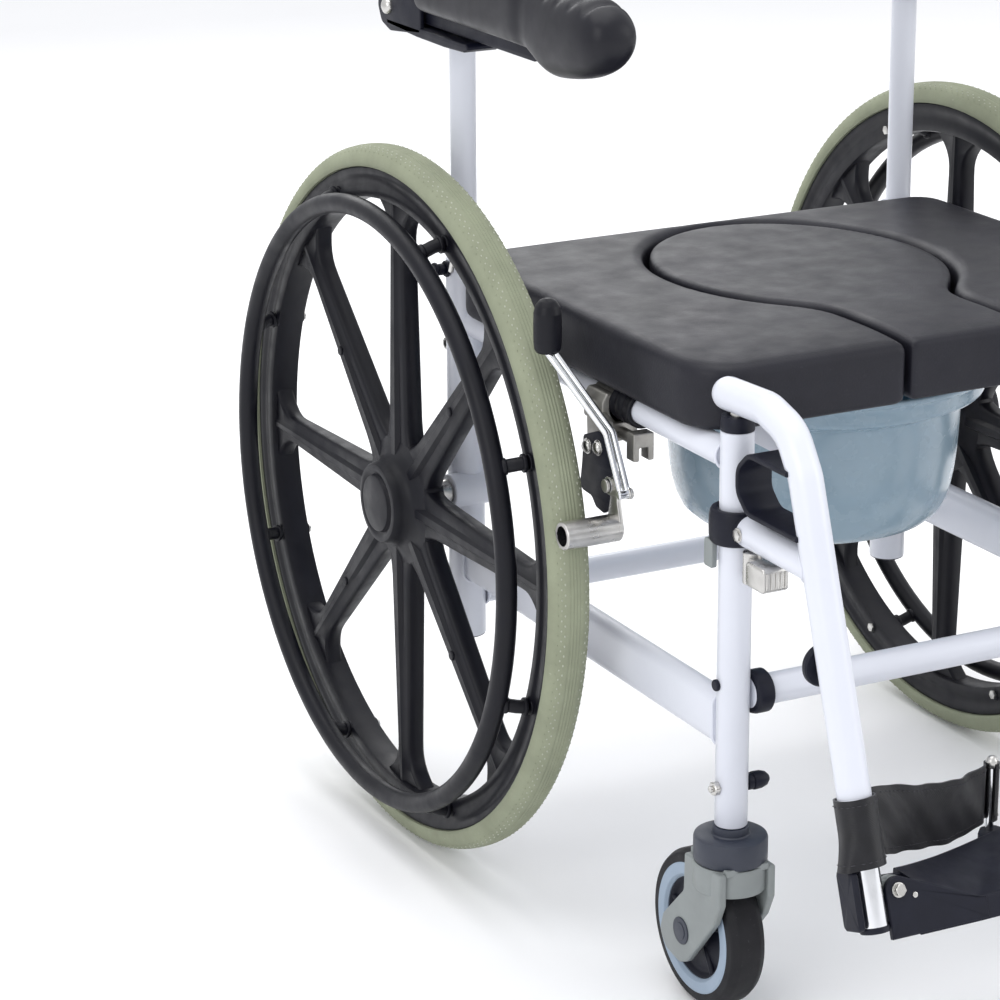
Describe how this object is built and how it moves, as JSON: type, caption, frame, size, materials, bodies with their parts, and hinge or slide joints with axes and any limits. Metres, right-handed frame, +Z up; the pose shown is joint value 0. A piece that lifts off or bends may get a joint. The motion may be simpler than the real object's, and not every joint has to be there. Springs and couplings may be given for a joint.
{
  "type": "commode wheelchair",
  "caption": "Self-propelled shower commode chair with spoked rear wheels, swing-away footrests, keyhole seat, slide-out pail, flip-up armrests and push handles.",
  "frame": {"origin": "centre of the footprint, on the floor", "axes": "+Z up, the sitter faces -Y, the sitter's left is +X"},
  "size_m": [0.653, 0.9518, 0.981],
  "materials": {
    "frame_white": "satin powder coat",
    "dark_plastic": "fine moulded texture",
    "wheel_black": "semi-matte moulded nylon",
    "tyre_grey": "matte, fine tread dots",
    "caster_black": "matte",
    "seat_skin": "grained integral-skin foam",
    "arm_skin": "smooth integral-skin foam",
    "back_fabric": "coated woven",
    "strap_webbing": "satin woven",
    "pail_plastic": "glossy, slightly translucent",
    "caster_grey": "satin moulded",
    "bright_metal": "bright plated",
    "cast_metal": "cast, tumbled"
  },
  "bodies": {
    "frame": {"front_post_right": "frame_white", "front_post_left": "frame_white", "front_post_bush_right": "dark_plastic", "front_post_bush_left": "dark_plastic", "upper_side_rail_right": "frame_white", "upper_side_rail_left": "frame_white", "lower_side_rail_right": "frame_white", "lower_side_rail_left": "frame_white", "rear_post_right": "frame_white", "rear_post_left": "frame_white", "wheel_axle_right": "bright_metal", "wheel_axle_left": "bright_metal", "front_cross_tube": "frame_white", "rear_lower_cross_tube": "frame_white", "rear_upper_cross_tube": "frame_white", "back_cane_right": "frame_white", "back_cane_left": "frame_white", "push_grip_right": "dark_plastic", "push_grip_left": "dark_plastic", "backrest": "back_fabric", "seat": "seat_skin", "pail_rail_right": "frame_white", "pail_rail_left": "frame_white", "brake_mount_right": "cast_metal", "brake_mount_left": "cast_metal", "arm_bracket_right": "dark_plastic", "arm_bracket_left": "dark_plastic"},
    "rear_wheel_right": {"rear_tyre_right": "tyre_grey", "rear_rim_right": "wheel_black", "push_rim_right": "wheel_black"},
    "caster_right": {"caster_fork_right": "caster_grey"},
    "caster_roller_right": {"caster_wheel_right": "caster_black"},
    "legrest_right": {"hanger_right": "frame_white", "hanger_guard_right": "dark_plastic"},
    "legrest_latch_right": {"release_lever_right": "bright_metal"},
    "footrest_right": {"footrest_tube_right": "bright_metal"},
    "footplate_right": {"footplate_right": "dark_plastic", "heel_strap_right": "strap_webbing"},
    "armrest_right": {"arm_bar_right": "bright_metal", "arm_pad_right": "arm_skin"},
    "brake_lever_right": {"brake_lever_right": "bright_metal"},
    "brake_shoe_right": {"brake_shoe_right": "bright_metal"},
    "rear_wheel_left": {"rear_tyre_left": "tyre_grey", "rear_rim_left": "wheel_black", "push_rim_left": "wheel_black"},
    "caster_left": {"caster_fork_left": "caster_grey"},
    "caster_roller_left": {"caster_wheel_left": "caster_black"},
    "legrest_left": {"hanger_left": "frame_white", "hanger_guard_left": "dark_plastic"},
    "legrest_latch_left": {"release_lever_left": "bright_metal"},
    "footrest_left": {"footrest_tube_left": "bright_metal"},
    "footplate_left": {"footplate_left": "dark_plastic", "heel_strap_left": "strap_webbing"},
    "armrest_left": {"arm_bar_left": "bright_metal", "arm_pad_left": "arm_skin"},
    "brake_lever_left": {"brake_lever_left": "bright_metal"},
    "brake_shoe_left": {"brake_shoe_left": "bright_metal"},
    "keyhole_pad": {"keyhole_pad": "seat_skin"},
    "pail": {"pail": "pail_plastic"}
  },
  "joints": [
    {"name": "rear_wheel_right_spin", "type": "hinge", "parent": "frame", "child": "rear_wheel_right", "pos_m": [-0.2805, 0.173, 0.303], "axis": [1, 0, 0], "continuous": true},
    {"name": "caster_right_swivel", "type": "hinge", "parent": "frame", "child": "caster_right", "pos_m": [-0.221, -0.267, 0.16], "axis": [0, 0, 1], "continuous": true},
    {"name": "caster_right_roll", "type": "hinge", "parent": "caster_right", "child": "caster_roller_right", "pos_m": [-0.221, -0.237, 0.0625], "axis": [1, 0, 0], "continuous": true},
    {"name": "legrest_right_swing", "type": "hinge", "parent": "frame", "child": "legrest_right", "pos_m": [-0.221, -0.267, 0.45], "axis": [0, 0, 1], "range_deg": [-90, 0]},
    {"name": "legrest_right_latch", "type": "hinge", "parent": "legrest_right", "child": "legrest_latch_right", "pos_m": [-0.221, -0.291, 0.37], "axis": [0, 0, 1], "range_deg": [0, 25], "stiffness_Nm_per_rad": 0.2},
    {"name": "footrest_right_height", "type": "slide", "parent": "legrest_right", "child": "footrest_right", "axis": [0, -0.3226, -0.9465], "range_m": [-0.02, 0.06]},
    {"name": "footplate_right_flip", "type": "hinge", "parent": "footrest_right", "child": "footplate_right", "pos_m": [-0.1995, -0.45272, 0.17552], "axis": [0, -0.9465, 0.3226], "range_deg": [0, 90]},
    {"name": "armrest_right_flip", "type": "hinge", "parent": "frame", "child": "armrest_right", "pos_m": [-0.256, 0.215, 0.718], "axis": [-1, 0, 0], "range_deg": [0, 100]},
    {"name": "brake_right_lever", "type": "hinge", "parent": "frame", "child": "brake_lever_right", "pos_m": [-0.255, -0.135, 0.398], "axis": [1, 0, 0], "range_deg": [0, 50]},
    {"name": "brake_right_shoe", "type": "hinge", "parent": "frame", "child": "brake_shoe_right", "pos_m": [-0.255, -0.135, 0.398], "axis": [1, 0, 0], "range_deg": [-10, 0]},
    {"name": "rear_wheel_left_spin", "type": "hinge", "parent": "frame", "child": "rear_wheel_left", "pos_m": [0.2805, 0.173, 0.303], "axis": [1, 0, 0], "continuous": true},
    {"name": "caster_left_swivel", "type": "hinge", "parent": "frame", "child": "caster_left", "pos_m": [0.221, -0.267, 0.16], "axis": [0, 0, 1], "continuous": true},
    {"name": "caster_left_roll", "type": "hinge", "parent": "caster_left", "child": "caster_roller_left", "pos_m": [0.221, -0.237, 0.0625], "axis": [1, 0, 0], "continuous": true},
    {"name": "legrest_left_swing", "type": "hinge", "parent": "frame", "child": "legrest_left", "pos_m": [0.221, -0.267, 0.45], "axis": [0, 0, 1], "range_deg": [0, 90]},
    {"name": "legrest_left_latch", "type": "hinge", "parent": "legrest_left", "child": "legrest_latch_left", "pos_m": [0.221, -0.291, 0.37], "axis": [0, 0, 1], "range_deg": [-25, 0], "stiffness_Nm_per_rad": 0.2},
    {"name": "footrest_left_height", "type": "slide", "parent": "legrest_left", "child": "footrest_left", "axis": [0, -0.3226, -0.9465], "range_m": [-0.02, 0.06]},
    {"name": "footplate_left_flip", "type": "hinge", "parent": "footrest_left", "child": "footplate_left", "pos_m": [0.1995, -0.45272, 0.17552], "axis": [0, 0.9465, -0.3226], "range_deg": [0, 90]},
    {"name": "armrest_left_flip", "type": "hinge", "parent": "frame", "child": "armrest_left", "pos_m": [0.256, 0.215, 0.718], "axis": [-1, 0, 0], "range_deg": [0, 100]},
    {"name": "brake_left_lever", "type": "hinge", "parent": "frame", "child": "brake_lever_left", "pos_m": [0.255, -0.135, 0.398], "axis": [1, 0, 0], "range_deg": [0, 50]},
    {"name": "brake_left_shoe", "type": "hinge", "parent": "frame", "child": "brake_shoe_left", "pos_m": [0.255, -0.135, 0.398], "axis": [1, 0, 0], "range_deg": [-10, 0]},
    {"name": "keyhole_pad_lift", "type": "slide", "parent": "frame", "child": "keyhole_pad", "axis": [0, 0, 1], "range_m": [0, 0.08]},
    {"name": "pail_slide", "type": "slide", "parent": "frame", "child": "pail", "axis": [0, -1, 0], "range_m": [0, 0.3]}
  ],
  "couplings": [
    {"joint": "brake_right_shoe", "follows": "brake_right_lever", "ratio": -0.2},
    {"joint": "brake_left_shoe", "follows": "brake_left_lever", "ratio": -0.2}
  ]
}
